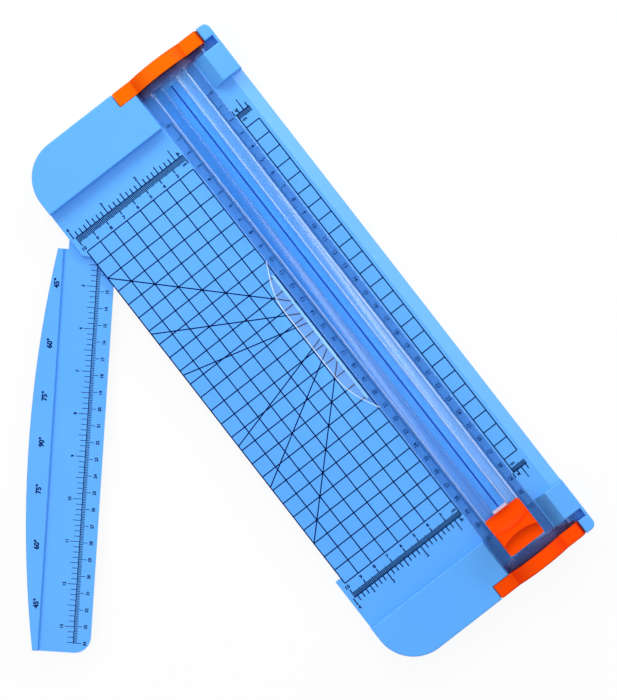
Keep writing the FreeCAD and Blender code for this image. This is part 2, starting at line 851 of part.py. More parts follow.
def finger_hollow(side):
    """Ring-shaped cutter whose rim crosses the knob's top in a shallow arc."""
    rim = math.sqrt(hollow_r ** 2 - (hollow_r - hollow_depth) ** 2)
    centre_x = grip_x + side * (grip_half + hollow_plan_r)
    return Part.makeTorus(hollow_plan_r - rim, hollow_r, point(centre_x, 0, knob_top - hollow_depth + hollow_r))


def cutter_knob():
    """Press-down grip with two finger hollows and a waisted ridge between them."""
    x = knob_length / 2
    y = knob_width / 2
    knob = box(-x, x, -y, y, knob_bottom, knob_top)
    knob = knob.makeFillet(knob_corner_r, upright_edges(knob, -knob_width, knob_width))
    rim = [edge for edge in knob.Edges if edge.BoundBox.ZMin > knob_top - knob_edge_r / 2]
    knob = knob.makeFillet(knob_edge_r, rim)
    for side in (-1, 1):
        knob = knob.cut(finger_hollow(side))
    cavity_x = knob_cavity_half_length
    cavity_y = knob_cavity_half_width
    deep_x = flange_half_length + holder_gap
    deep_y = flange_half_width + holder_gap
    cuts = [
        box(-cavity_x, cavity_x, -cavity_y, cavity_y, knob_bottom - over, knob_ceiling),
        box(-deep_x, deep_x, -deep_y, deep_y, knob_bottom - over, flange_top_z),
    ]
    for y in (-holder_screw_y, holder_screw_y):
        tip = flange_top_z + holder_screw_bite + screw_fit
        cuts.append(rod(holder_screw_r + press_fit, 0, y, flange_top_z - over, tip))
    knob = knob.cut(cuts)
    knob.translate(point(carriage_x, 0, 0))
    return knob


def blade_holder():
    """Stem that slides in the shoe, with lugs under its ledge and a flange under the knob."""
    stem_x = holder_half_length
    lug_x = stem_x + lug_reach
    lug_top = ledge_height - holder_gap
    holder = joined([
        box(-stem_x, stem_x, -holder_half_width, holder_half_width, holder_foot, knob_ceiling + over / 2),
        box(-lug_x, lug_x, -holder_half_width, holder_half_width, holder_foot, lug_top),
        box(-flange_half_length, flange_half_length, -flange_half_width, flange_half_width,
            knob_ceiling, flange_top_z),
    ])
    slot_x_half = blade_half_length + blade_fit
    slot_y = blade_thick / 2 + blade_fit
    cuts = [box(-slot_x_half, slot_x_half, -slot_y, slot_y, holder_foot - over, blade_top + blade_fit)]
    cuts.append(Part.makeCylinder(blade_pin_r + press_fit, 2 * holder_half_width + 2 * over,
                                  point(0, -holder_half_width - over, blade_pin_z), point(0, 1, 0)))
    for y in (-holder_screw_y, holder_screw_y):
        cuts.append(rod(holder_screw_r + screw_fit, 0, y, knob_ceiling - over, flange_top_z + over))
    holder = holder.cut(cuts)
    holder.translate(point(carriage_x, 0, 0))
    return holder


def cutter_blade():
    y = -blade_thick / 2
    x = blade_half_length
    outline = [
        point(-x, y, blade_top),
        point(x, y, blade_top),
        point(x, y, blade_shoulder),
        point(0, y, blade_tip),
        point(-x, y, blade_shoulder),
    ]
    blade = prism(outline, point(0, blade_thick, 0))
    hole = Part.makeCylinder(blade_pin_r + blade_fit, 2 * over, point(0, -over, blade_pin_z), point(0, 1, 0))
    blade = blade.cut(hole)
    blade.translate(point(carriage_x, 0, 0))
    return blade


def blade_pin():
    start = point(carriage_x, -holder_half_width, blade_pin_z)
    return Part.makeCylinder(blade_pin_r, 2 * holder_half_width, start, point(0, 1, 0))


def holder_screws():
    screws = []
    for y in (-holder_screw_y, holder_screw_y):
        head = rod(holder_screw_head_r, 0, y, knob_ceiling - holder_screw_head, knob_ceiling)
        shank = rod(holder_screw_r, 0, y, knob_ceiling - holder_screw_head / 2,
                    flange_top_z + holder_screw_bite)
        screws.append(joined([head, shank]))
    group = Part.makeCompound(screws)
    group.translate(point(carriage_x, 0, 0))
    return group


def all_pieces():
    pieces = {
        "base_shell": base_shell(),
        "cutting_strip": cutting_strip(),
        "ruler_pivot_washer": pivot_washer(),
        "ruler_pivot_screw": pivot_screw(),
        "extension_ruler": extension_ruler(),
        "clear_rail": clear_rail(),
        "carriage_shoe": carriage_shoe(),
        "cutter_knob": cutter_knob(),
        "blade_holder": blade_holder(),
        "cutter_blade": cutter_blade(),
        "blade_pin": blade_pin(),
        "holder_screws": holder_screws(),
    }
    for name, x, y, _ in foot_places():
        pieces["foot_" + name] = foot(x, y)
    for side, end in ((-1, "left"), (1, "right")):
        pieces["hinge_pin_" + end] = hinge_pin(side)
        pieces["end_cap_" + end] = end_cap(side)
        pieces["end_cap_screws_" + end] = cap_screws(side)
        pieces["return_spring_" + end] = return_spring(side)
    return pieces


def shift_to_origin(pieces):
    """Vector that brings the bottom centre of the whole machine's box to the origin."""
    whole = Part.makeCompound(list(pieces.values())).optimalBoundingBox(False)
    return point(-whole.Center.x, -whole.Center.y, -whole.ZMin)


pieces = all_pieces()
shift = shift_to_origin(pieces)
os.makedirs("parts", exist_ok=True)
for name, shape in pieces.items():
    shape.translate(shift)
    shape.exportStep("parts/" + name + ".step")
print("origin moved by", [round(value, 4) for value in shift])
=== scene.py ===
import json
import math

import bmesh
import bpy
from mathutils import Matrix, Vector


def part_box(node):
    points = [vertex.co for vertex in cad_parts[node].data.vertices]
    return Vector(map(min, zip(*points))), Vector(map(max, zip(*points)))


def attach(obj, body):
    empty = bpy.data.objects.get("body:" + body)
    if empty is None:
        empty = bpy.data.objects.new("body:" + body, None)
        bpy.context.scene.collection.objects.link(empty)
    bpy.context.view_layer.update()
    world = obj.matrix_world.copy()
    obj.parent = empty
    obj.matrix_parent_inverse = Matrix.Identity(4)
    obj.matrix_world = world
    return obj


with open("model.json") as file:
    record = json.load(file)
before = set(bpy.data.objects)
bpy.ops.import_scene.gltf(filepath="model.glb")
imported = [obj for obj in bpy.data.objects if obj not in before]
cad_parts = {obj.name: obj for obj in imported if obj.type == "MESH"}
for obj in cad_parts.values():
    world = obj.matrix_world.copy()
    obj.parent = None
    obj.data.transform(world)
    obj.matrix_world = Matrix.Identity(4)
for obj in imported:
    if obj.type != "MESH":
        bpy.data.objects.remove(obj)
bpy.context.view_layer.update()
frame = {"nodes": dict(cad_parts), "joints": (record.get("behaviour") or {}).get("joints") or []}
nodes = frame["nodes"]

# Metres everywhere. Print positions are given in millimetres from named datums and scaled here.
MM = 0.001
EIGHTH = 25.4 / 8
ROUNDING = 1e-6

# Datums read from the frame
CUT_Y = (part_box("cutting_strip")[0][1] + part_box("cutting_strip")[1][1]) / 2
BED_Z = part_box("cutting_strip")[1][2]
FLANGE_RISE = 2.3 * MM
FLANGE_Z = BED_Z + FLANGE_RISE
RULER_JOINT = next(joint for joint in frame["joints"] if joint["name"] == "ruler_swing")
PIVOT = Vector(RULER_JOINT["pos_m"])
RULER_ANGLE = math.radians(-RULER_JOINT["range_deg"][1])
RULER_THICK = 2.6 * MM
RULER_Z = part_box("extension_ruler")[0][2] + RULER_THICK
BOW_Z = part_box("extension_ruler")[1][2]

# Ink layer: how far it sinks into the plastic and stands above it
INK_SINK = 0.02 * MM
INK_RISE = 0.03 * MM

# How far the outlines of printed characters are moved out, as a share of their size
BOLDER = 0.045

# Camera, straight above the machine as in the photo
PHOTO_HEIGHT = 700
CAMERA_HEIGHT = 1.8
CAMERA_X = 2.05 * MM
CAMERA_Y = -31.9 * MM
CAMERA_ROLL = 52.16
FOCAL_PIXELS = 3006.5
SENSOR = 36.0
CLIP_END = 20


def look_from_above():
    data = bpy.data.cameras.new("photo_camera")
    data.sensor_fit = "VERTICAL"
    data.sensor_height = SENSOR
    data.lens = FOCAL_PIXELS * SENSOR / PHOTO_HEIGHT
    data.clip_end = CLIP_END
    camera = bpy.data.objects.new("photo_camera", data)
    camera.location = (CAMERA_X, CUT_Y + CAMERA_Y, CAMERA_HEIGHT)
    camera.rotation_euler = (0, 0, math.radians(CAMERA_ROLL))
    bpy.context.scene.collection.objects.link(camera)
    bpy.context.scene.camera = camera


class Shader:
    """A new material whose main shader takes its finish from a few procedural nodes."""

    def __init__(self, name, colour, roughness, **sockets):
        self.material = bpy.data.materials.new(name)
        self.material.use_nodes = True
        self.tree = self.material.node_tree
        self.main = next(node for node in self.tree.nodes if node.type == "BSDF_PRINCIPLED")
        self.set("Base Color", (*colour, 1))
        self.set("Roughness", roughness)
        for socket, value in sockets.items():
            self.set(socket.replace("_", " "), value)

    def set(self, socket, value):
        self.main.inputs[socket].default_value = value

    def add(self, kind, **values):
        node = self.tree.nodes.new(kind)
        for key, value in values.items():
            if key in node.inputs:
                node.inputs[key].default_value = value
            else:
                setattr(node, key, value)
        return node

    def link(self, source, target):
        self.tree.links.new(source, target)

    def noise(self, scale, detail=2.0, stretch=(1, 1, 1)):
        """Noise over the object's own coordinates; scale is in features per metre."""
        place = self.add("ShaderNodeTexCoord")
        mapping = self.add("ShaderNodeMapping")
        mapping.inputs["Scale"].default_value = stretch
        noise = self.add("ShaderNodeTexNoise", Scale=scale, Detail=detail)
        self.link(place.outputs["Object"], mapping.inputs["Vector"])
        self.link(mapping.outputs["Vector"], noise.inputs["Vector"])
        return noise.outputs["Fac"]

    def split(self, vector):
        """The X, Y and Z sockets of a vector."""
        parts = self.add("ShaderNodeSeparateXYZ")
        self.link(vector, parts.inputs["Vector"])
        return parts.outputs["X"], parts.outputs["Y"], parts.outputs["Z"]

    def places(self):
        """The object's own coordinates, in metres: along the cut, and away from the cut line."""
        along, across, _ = self.split(self.add("ShaderNodeTexCoord").outputs["Object"])
        return along, self.math("SUBTRACT", across, CUT_Y)

    def math(self, operation, first, second=0.0):
        node = self.add("ShaderNodeMath", operation=operation)
        for socket, value in zip(node.inputs, (first, second)):
            if isinstance(value, float):
                socket.default_value = value
            else:
                self.link(value, socket)
        return node.outputs["Value"]

    def bands(self, fac, stops):
        """Colours at places along a factor, with soft steps between them."""
        ramp = self.add("ShaderNodeValToRGB")
        line = ramp.color_ramp.elements
        for index, (position, colour) in enumerate(stops):
            stop = line[index] if index < 2 else line.new(position)
            stop.position = position
            stop.color = (*colour, 1)
        self.link(fac, ramp.inputs["Fac"])
        return ramp.outputs["Color"]

    def tint(self, fac, low, high):
        """Base colour that wanders between two colours."""
        self.link(self.bands(fac, ((0.35, low), (0.65, high))), self.main.inputs["Base Color"])

    def spread(self, value, between, to):
        """A value moved from one range into another, and held at its ends."""
        node = self.add("ShaderNodeMapRange")
        for socket, limit in zip(("From Min", "From Max", "To Min", "To Max"), (*between, *to)):
            node.inputs[socket].default_value = limit
        self.link(value, node.inputs["Value"])
        return node.outputs["Result"]

    def vary_roughness(self, fac, low, high):
        self.link(self.spread(fac, (0.0, 1.0), (low, high)), self.main.inputs["Roughness"])

    def multiply(self, first, second):
        """Product of two colours, channel by channel."""
        node = self.add("ShaderNodeVectorMath", operation="MULTIPLY")
        self.link(first, node.inputs[0])
        self.link(second, node.inputs[1])
        return node.outputs["Vector"]

    def pass_shadows(self, tint):
        """Lamps shine through the surface, only faintly tinted, instead of leaving a full shadow."""
        faint = self.add("ShaderNodeGamma", Gamma=SHADOW_GAMMA)
        self.link(tint, faint.inputs["Color"])
        film = self.add("ShaderNodeBsdfTransparent")
        self.link(faint.outputs["Color"], film.inputs["Color"])
        path = self.add("ShaderNodeLightPath")
        mix = self.add("ShaderNodeMixShader")
        output = next(node for node in self.tree.nodes if node.type == "OUTPUT_MATERIAL")
        self.link(path.outputs["Is Shadow Ray"], mix.inputs["Fac"])
        self.link(self.main.outputs["BSDF"], mix.inputs[1])
        self.link(film.outputs["BSDF"], mix.inputs[2])
        self.link(mix.outputs["Shader"], output.inputs["Surface"])

    def lean(self, slope):
        """Turns level faces a little towards +Y, by a slope in the object's own directions."""
        inward = self.add("ShaderNodeVectorTransform", vector_type="NORMAL",
                          convert_from="WORLD", convert_to="OBJECT")
        outward = self.add("ShaderNodeVectorTransform", vector_type="NORMAL",
                           convert_from="OBJECT", convert_to="WORLD")
        turned = self.add("ShaderNodeCombineXYZ")
        self.link(self.add("ShaderNodeNewGeometry").outputs["Normal"], inward.inputs["Vector"])
        x, y, z = self.split(inward.outputs["Vector"])
        self.link(x, turned.inputs["X"])
        self.link(self.math("ADD", self.math("MULTIPLY", slope, z), y), turned.inputs["Y"])
        self.link(z, turned.inputs["Z"])
        self.link(turned.outputs["Vector"], outward.inputs["Vector"])
        self.link(outward.outputs["Vector"], self.main.inputs["Normal"])

    def bump(self, fac, height, strength):
        bump = self.add("ShaderNodeBump", Strength=strength, Distance=height)
        self.link(fac, bump.inputs["Height"])
        self.link(bump.outputs["Normal"], self.main.inputs["Normal"])


# Colours of the strip, with painted shade along its groove, and of the clear rail from its channel out to
# its finger tab, with painted light and shade in the rail's zones
GROOVE_SHADE = (0.001, 0.11, 0.70)
STRIP = (0.058, 0.385, 1.0)
STRIP_EDGE = (0.055, 0.36, 0.97)
STRIP_HALF = 4.0 * MM
STRIP_AND_GROOVE_SHADE_BANDS = ((0.12, GROOVE_SHADE), (0.17, STRIP), (0.9, STRIP_EDGE))
CLEAR_CHANNEL = (0.581, 0.721, 0.798)
CLEAR_WIDE_RIDGE = (0.333, 0.518, 0.667)
CLEAR_NARROW_RIDGE = (0.71, 0.71, 0.754)
CLEAR_FLANGE = (0.528, 0.565, 0.656)
CLEAR_TAB = (0.776, 0.754, 0.776)
WHITE = (1.0, 1.0, 1.0)

# Zones of painted light and shade on the clear rail, in millimetres away from the cut line, with soft steps
# between them
CLEAR_HALF = 25.0
CLEAR_LIGHT_AND_SHADE_ZONES = (
    (-25.0, -19.8, CLEAR_TAB),
    (-19.4, -12.5, CLEAR_FLANGE),
    (-12.2, -5.1, CLEAR_WIDE_RIDGE),
    (-4.9, 4.9, CLEAR_CHANNEL),
    (5.1, 12.2, CLEAR_NARROW_RIDGE),
    (12.5, 25.0, CLEAR_FLANGE),
)

# Hooded ends: where their painted shade, with a painted red reflection of the caps, starts, how far it runs,
# and its stops along that run
HOOD_START = 170.0 * MM
HOOD_RUN = 12.0 * MM
HOOD_SHADE_TINTS = (
    (0.25, WHITE),
    (0.5, (0.98, 0.58, 0.69)),
    (0.72, (0.89, 0.30, 0.335)),
    (0.85, (0.37, 0.033, 0.033)),
)
HOOD_SHEEN = ((0.25, WHITE), (0.5, (0.2, 0.2, 0.35)))

# The rail warms a little towards the parked knob, a painted reflection of the knob's orange
PARKED_START = 120.0 * MM
PARKED_RUN = 30.0 * MM
PARKED_REFLECTION_TINTS = ((0.1, WHITE), (0.9, (1.0, 0.943, 0.943)))

# Roughness: on the ridges up to their sides, outside them, and in the hoods, where it grows per metre along
# the cut up to its limit
RIDGE_SIDE = (11.9 * MM, 12.4 * MM)
RIDGE_ROUGHNESS = 0.16
POLISHED = 0.03
HOOD_ROUGHNESS = 0.3
HOOD_ROUGH_START = 173.0 * MM
HOOD_ROUGH_GROWTH = 100.0

# How much of its tint the clear rail gives to lamp light that passes through
SHADOW_GAMMA = 0.1

# Crowned bands of the clear rail, away from the cut line: from, to, where level at the middle of the cut,
# how far that moves for each metre along the cut, curvature per metre
CROWNS = (
    (5.0 * MM, 12.0 * MM, 6.6 * MM, -0.025, 35.0),
    (-12.0 * MM, -5.0 * MM, -11.2 * MM, -0.022, 30.0),
    (-30.0 * MM, -22.3 * MM, 0.0, 0.0, 13.0),
)
CROWN_END = 174.0 * MM

# Orange plastic: its share along the cut, where painted light fall-off makes it yellower at one end, and its
# colours there and on sloping faces, which painted shade makes deeper
FALLOFF_PER_METRE = 2.5
PIGMENT_MOTTLE = 0.08
ORANGE_FALLOFF_BANDS = ((0.04, (1.0, 0.15, 0.0)), (0.9, (1.0, 0.072, 0.0)))
SLOPE_SHADE = ((0.6, (0.80, 0.35, 1.0)), (0.98, WHITE))


def blue_plastic():
    """Satin moulded plastic with a fine spark-eroded grain."""
    shader = Shader("blue_plastic", (0.09, 0.40, 1.0), 0.4, IOR=1.5)
    shader.tint(shader.noise(6, 3), (0.085, 0.385, 0.98), (0.10, 0.42, 1.0))
    shader.vary_roughness(shader.noise(40, 3), 0.36, 0.46)
    shader.bump(shader.noise(2600, 3), 0.02 * MM, 0.25)
    return shader.material


def strip_plastic():
    """The base's plastic, with painted shade darkening it along the groove that the blade runs in."""
    shader = Shader("strip_plastic", (0.07, 0.34, 1.0), 0.45, IOR=1.5)
    _, across = shader.places()
    share = shader.math("DIVIDE", shader.math("ABSOLUTE", across), STRIP_HALF)
    # Painted shade: the band along the groove is dark
    shader.link(shader.bands(share, STRIP_AND_GROOVE_SHADE_BANDS), shader.main.inputs["Base Color"])
    shader.bump(shader.noise(1800, 2, (0.05, 1, 1)), 0.01 * MM, 0.3)
    return shader.material


def clear_plastic():
    """Polished clear plastic that lets lamp light through; its tint holds painted light, shade and
    reflections.

    The ridges' tops are crowned a little, so a softbox shows in them as a bright streak.
    """
    shader = Shader("clear_plastic", CLEAR_CHANNEL, POLISHED, IOR=1.49, Transmission_Weight=1.0)
    along, across = shader.places()
    length = shader.math("ABSOLUTE", along)
    stops = [((edge + CLEAR_HALF) / (2 * CLEAR_HALF), colour)
             for low, high, colour in CLEAR_LIGHT_AND_SHADE_ZONES for edge in (low, high)]
    share = shader.math("DIVIDE", shader.math("ADD", across, CLEAR_HALF * MM), 2 * CLEAR_HALF * MM)
    parked = shader.math("DIVIDE", shader.math("SUBTRACT", along, PARKED_START), PARKED_RUN)
    end_share = shader.math("DIVIDE", shader.math("SUBTRACT", length, HOOD_START), HOOD_RUN)
    # Painted light and shade by zone, warmed by a painted reflection of the parked knob
    warmed = shader.multiply(shader.bands(share, stops), shader.bands(parked, PARKED_REFLECTION_TINTS))
    # Painted shade, with a painted red reflection of the caps, in the hooded ends
    tint = shader.multiply(warmed, shader.bands(end_share, HOOD_SHADE_TINTS))
    shader.link(tint, shader.main.inputs["Base Color"])
    shader.link(shader.bands(end_share, HOOD_SHEEN), shader.main.inputs["Specular Tint"])
    shader.pass_shadows(tint)
    rough = shader.spread(shader.math("ABSOLUTE", across), RIDGE_SIDE, (RIDGE_ROUGHNESS, POLISHED))
    hooded = shader.math("MULTIPLY", shader.math("SUBTRACT", length, HOOD_ROUGH_START), HOOD_ROUGH_GROWTH)
    shader.link(shader.math("MINIMUM", shader.math("MAXIMUM", rough, hooded), HOOD_ROUGHNESS),
                shader.main.inputs["Roughness"])
    lean = 0.0
    for low, high, level, drift, crown in CROWNS:
        inside = shader.math("MULTIPLY", shader.math("GREATER_THAN", across, low),
                             shader.math("LESS_THAN", across, high))
        crest = shader.math("ADD", shader.math("MULTIPLY", along, drift), level)
        slope = shader.math("MULTIPLY", shader.math("SUBTRACT", across, crest), crown)
        lean = shader.math("ADD", shader.math("MULTIPLY", inside, slope), lean)
    between_ends = shader.math("LESS_THAN", length, CROWN_END)
    shader.lean(shader.math("MULTIPLY", lean, between_ends))
    return shader.material


def natural_plastic():
    """Undyed slider plastic, milky and a little see-through."""
    shader = Shader("natural_plastic", (0.74, 0.62, 0.74), 0.4, IOR=1.48, Subsurface_Weight=0.3)
    shader.set("Subsurface Radius", (0.002, 0.002, 0.002))
    shader.tint(shader.noise(90, 2), (0.72, 0.60, 0.72), (0.76, 0.66, 0.77))
    return shader.material


def orange_plastic():
    """Orange plastic: painted light fall-off yellows it away from the parked knob; painted shade deepens
    slopes.
    """
    shader = Shader("orange_plastic", (1.0, 0.11, 0.0), 0.4, IOR=1.46, Specular_IOR_Level=0.04)
    # Painted light fall-off: the orange is yellower towards one end of the cut
    along, _, _ = shader.split(shader.add("ShaderNodeTexCoord").outputs["Object"])
    share = shader.math("ADD", shader.math("MULTIPLY", along, FALLOFF_PER_METRE), 0.5)
    mottled = shader.math("ADD", share, shader.math("MULTIPLY", shader.noise(25, 3), PIGMENT_MOTTLE))
    # Painted shade: sloping faces are deeper orange
    _, _, level = shader.split(shader.add("ShaderNodeNewGeometry").outputs["Normal"])
    colour = shader.multiply(shader.bands(mottled, ORANGE_FALLOFF_BANDS), shader.bands(level, SLOPE_SHADE))
    shader.link(colour, shader.main.inputs["Base Color"])
    shader.vary_roughness(shader.noise(70, 3), 0.32, 0.42)
    shader.bump(shader.noise(2400, 3), 0.02 * MM, 0.2)
    return shader.material


def holder_plastic():
    shader = Shader("holder_plastic", (0.62, 0.62, 0.64), 0.5, IOR=1.5)
    shader.tint(shader.noise(80, 2), (0.58, 0.58, 0.60), (0.66, 0.66, 0.68))
    shader.bump(shader.noise(2000, 2), 0.02 * MM, 0.2)
    return shader.material


def bright_steel(name, colour, roughness, stretch):
    """Drawn or ground steel: the grain runs along the stretched axis."""
    shader = Shader(name, colour, roughness, Metallic=1.0)
    shader.vary_roughness(shader.noise(900, 3, stretch), roughness * 0.7, roughness * 1.4)
    shader.bump(shader.noise(1500, 2, stretch), 0.01 * MM, 0.3)
    return shader.material


def frosted_edge():
    """Painted highlight: a pale line along a rounded moulded edge, where it would catch the light."""
    shader = Shader("frosted_edge", (0.80, 0.88, 1.0), 0.5, IOR=1.48)
    shader.tint(shader.noise(60, 2, (1, 0.2, 1)), (0.66, 0.80, 1.0), (0.88, 0.94, 1.0))
    return shader.material


def matt_band():
    """Painted highlight: a pale band along the finger tab's root."""
    shader = Shader("matt_band", (0.25, 0.56, 1.0), 0.5, IOR=1.48)
    shader.tint(shader.noise(40, 2, (1, 0.2, 1)), (0.22, 0.53, 0.98), (0.30, 0.62, 1.0))
    return shader.material


def black_rubber():
    shader = Shader("black_rubber", (0.02, 0.02, 0.022), 0.8, IOR=1.5)
    shader.tint(shader.noise(400, 2), (0.016, 0.016, 0.018), (0.03, 0.03, 0.032))
    shader.bump(shader.noise(3000, 2), 0.03 * MM, 0.4)
    return shader.material


def printing_ink():
    """Dark navy pad-printed ink, very slightly uneven."""
    shader = Shader("printing_ink", (0.0003, 0.008, 0.10), 0.6, IOR=1.4, Specular_IOR_Level=0.0)
    shader.tint(shader.noise(900, 3), (0.0002, 0.007, 0.09), (0.0005, 0.010, 0.115))
    return shader.material


MATERIALS = {
    "blue": blue_plastic(),
    "strip": strip_plastic(),
    "clear": clear_plastic(),
    "natural": natural_plastic(),
    "edge": frosted_edge(),
    "band": matt_band(),
    "orange": orange_plastic(),
    "holder": holder_plastic(),
    "blade": bright_steel("blade_steel", (0.75, 0.76, 0.78), 0.22, (1, 1, 0.05)),
    "steel": bright_steel("zinc_steel", (0.62, 0.63, 0.66), 0.3, (0.1, 1, 1)),
    "dark_steel": bright_steel("blackened_steel", (0.035, 0.04, 0.05), 0.4, (0.1, 1, 1)),
    "blued_steel": bright_steel("blued_steel", (0.10, 0.20, 0.45), 0.45, (0.1, 1, 1)),
    "rubber": black_rubber(),
    "ink": printing_ink(),
}

NODE_FINISH = {
    "base_shell": "blue",
    "extension_ruler": "blue",
    "cutting_strip": "strip",
    "clear_rail": "clear",
    "carriage_shoe": "natural",
    "end_cap_left": "orange",
    "end_cap_right": "orange",
    "cutter_knob": "orange",
    "blade_holder": "holder",
    "cutter_blade": "blade",
    "end_cap_screws_left": "dark_steel",
    "end_cap_screws_right": "dark_steel",
    "hinge_pin_left": "blued_steel",
    "hinge_pin_right": "blued_steel",
    "foot_wide_left": "rubber",
    "foot_wide_right": "rubber",
    "foot_narrow_left": "rubber",
    "foot_narrow_right": "rubber",
}


def dress_nodes():
    """Give each carried-over piece its finish; small metal parts are zinc-plated steel."""
    for name, piece in nodes.items():
        finish = MATERIALS[NODE_FINISH.get(name, "steel")]
        piece.data.materials.clear()
        piece.data.materials.append(finish)


def make_piece(mesh, name, finish):
    """Object of a worked mesh, with its finish."""
    bmesh.ops.recalc_face_normals(mesh, faces=mesh.faces)
    data = bpy.data.meshes.new(name)
    mesh.to_mesh(data)
    mesh.free()
    data.materials.append(MATERIALS[finish])
    piece = bpy.data.objects.new(name, data)
    bpy.context.scene.collection.objects.link(piece)
    return piece


class PrintSheet:
    """Ink printed on one surface. Marks are thin closed solids, joined into one piece.

    The hand is -1 where the sheet's own plan is a mirror image of the view from above.
    """

    def __init__(self, name, height, to_world, hand, bolder=BOLDER):
        self.name = name
        self.hand = hand
        self.bolder = bolder
        self.mesh = bmesh.new()
        self.low = height - INK_SINK
        self.high = height + INK_RISE
        self.to_world = to_world

    def place(self, x, y, z):
        """A point given in millimetres in the sheet's own plan."""
        spot = self.to_world(x, y)
        return Vector((spot[0], spot[1], z))

    def line(self, x0, y0, x1, y1, width):
        """Straight mark of a given width between two points, in millimetres."""
        along = Vector((x1 - x0, y1 - y0)).normalized()
        side = Vector((-along.y, along.x)) * width / 2
        corners = [(x0 + side.x, y0 + side.y), (x0 - side.x, y0 - side.y),
                   (x1 - side.x, y1 - side.y), (x1 + side.x, y1 + side.y)]
        bottom = [self.mesh.verts.new(self.place(x, y, self.low)) for x, y in corners]
        top = [self.mesh.verts.new(self.place(x, y, self.high)) for x, y in corners]
        self.mesh.faces.new(bottom[::-1])
        self.mesh.faces.new(top)
        for i in range(4):
            j = (i + 1) % 4
            self.mesh.faces.new((bottom[i], bottom[j], top[j], top[i]))

    def text(self, words, x, y, height, right):
        """Characters centred on a point; right is the direction they read in, in the sheet's plan."""
        glyphs = text_mesh(words, self.bolder)
        right = Vector(right).normalized()
        up = Vector((-right.y, right.x)) * self.hand
        verts = []
        for vert in glyphs.vertices:
            spot = Vector((x, y)) + (right * vert.co.x + up * vert.co.y) * height
            z = self.high if vert.co.z > 0 else self.low
            verts.append(self.mesh.verts.new(self.place(spot.x, spot.y, z)))
        for face in glyphs.polygons:
            self.mesh.faces.new([verts[i] for i in face.vertices])

    def finish(self, body):
        piece = make_piece(self.mesh, self.name, "ink")
        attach(piece, body)


# Characters of the built-in font, as shares of the text size: height of a digit, half their thickness, and
# how close points are joined; then the steps along their curves
CAP_HEIGHT = 0.729
GLYPH_DEPTH = 0.1
JOIN = 1e-5
CURVE_STEPS = 3
GLYPHS = {}


def text_mesh(words, bolder):
    """Closed mesh of the words, one unit tall, centred on the origin."""
    if (words, bolder) not in GLYPHS:
        curve = bpy.data.curves.new("glyph", "FONT")
        curve.body = words
        curve.extrude = GLYPH_DEPTH
        curve.offset = bolder
        curve.resolution_u = CURVE_STEPS
        curve.align_x = "CENTER"
        carrier = bpy.data.objects.new("glyph", curve)
        bpy.context.scene.collection.objects.link(carrier)
        bpy.context.view_layer.update()
        shaped = carrier.evaluated_get(bpy.context.evaluated_depsgraph_get())
        data = bpy.data.meshes.new_from_object(shaped)
        bpy.data.objects.remove(carrier)
        work = bmesh.new()
        work.from_mesh(data)
        bmesh.ops.remove_doubles(work, verts=work.verts, dist=JOIN)
        low = min(vert.co.y for vert in work.verts)
        high = max(vert.co.y for vert in work.verts)
        left = min(vert.co.x for vert in work.verts)
        right = max(vert.co.x for vert in work.verts)
        for vert in work.verts:
            vert.co.x = (vert.co.x - (left + right) / 2) / CAP_HEIGHT
            vert.co.y = (vert.co.y - (low + high) / 2) / CAP_HEIGHT
        work.to_mesh(data)
        work.free()
        GLYPHS[words, bolder] = data
    return GLYPHS[words, bolder]


# Bed print, in millimetres: x along the cut from the grid's first line, y away from the cut line
GRID_START = -125.0
GRID_LENGTH = 250
GRID_NEAR = 20
GRID_FAR = 100
GRID_STEP = 10
STRIP_NEAR = -20
STRIP_FAR = -29.6
STRIP_RUNS_PAST = (9.5, 9.4)
NEAR_RUNS_PAST = 10.3
LINE = 0.72
FINE = 0.36
HATCH = 0.4
HATCH_ROWS = 4
FAN_CENTRE = 120.0
FAN_ANGLES = (45, 60, 75)

# Scales across the bed: where the hatched band starts and ends, how far the scale runs, where its units
# stand; then how far marks and figures reach out from the band, and how large the figures are
CROSS_SCALES = (
    (-7.1, -10.5, 20, 100.7, 21.6),
    (257.3, 260.2, 20, 100.7, 21.6),
    (-6.6, -9.5, -29.6, -19.6, -21.6),
    (256.8, 259.5, -29.6, -19.6, -21.6),
)
CM_REACH = 2.6
HALF_CM_REACH = 0.9
CM_FIGURE_OUT = 4.6
CM_FIGURES_FROM = 25
HALF_INCH_REACH = 5.0
EIGHTH_REACH = 3.5
INCH_FIGURE_OUT = 6.4
FIGURE = 2.3
UNIT_FIGURE = 1.9
INCH_UNIT_OUT = 2.4
CM_UNIT_OUT = 1.9
CM_UNIT_ALONG = 0.8
CM_RUN_ON = 0.7
INCH_RUN_ON = 1.7
TOWARDS_CUT = (0, -1)


def on_bed(x, y):
    return ((GRID_START + x) * MM, CUT_Y - y * MM)


def steps(low, high, step):
    """Multiples of the step from low to high."""
    first = math.ceil(low / step - ROUNDING)
    last = math.floor(high / step + ROUNDING)
    return [index * step for index in range(first, last + 1)]


def print_grid(sheet):
    for x in steps(0, GRID_LENGTH, GRID_STEP):
        sheet.line(x, GRID_NEAR, x, GRID_FAR, LINE)
        sheet.line(x, STRIP_FAR, x, STRIP_NEAR, LINE)
    for y in steps(GRID_NEAR + GRID_STEP, GRID_FAR, GRID_STEP):
        sheet.line(0, y, GRID_LENGTH, y, LINE)
    sheet.line(0, GRID_NEAR, GRID_LENGTH + NEAR_RUNS_PAST, GRID_NEAR, LINE)
    before, after = STRIP_RUNS_PAST
    sheet.line(-before, STRIP_NEAR, GRID_LENGTH + after, STRIP_NEAR, LINE)
    sheet.line(0, STRIP_FAR, GRID_LENGTH, STRIP_FAR, LINE)


def print_fan(sheet):
    """Angle lines that fan out from one point on the cut line."""
    for angle in FAN_ANGLES:
        run = 1 / math.tan(math.radians(angle))
        for side in (-1, 1):
            near = FAN_CENTRE + side * GRID_NEAR * run
            far = FAN_CENTRE + side * GRID_FAR * run
            sheet.line(near, GRID_NEAR, far, GRID_FAR, LINE)


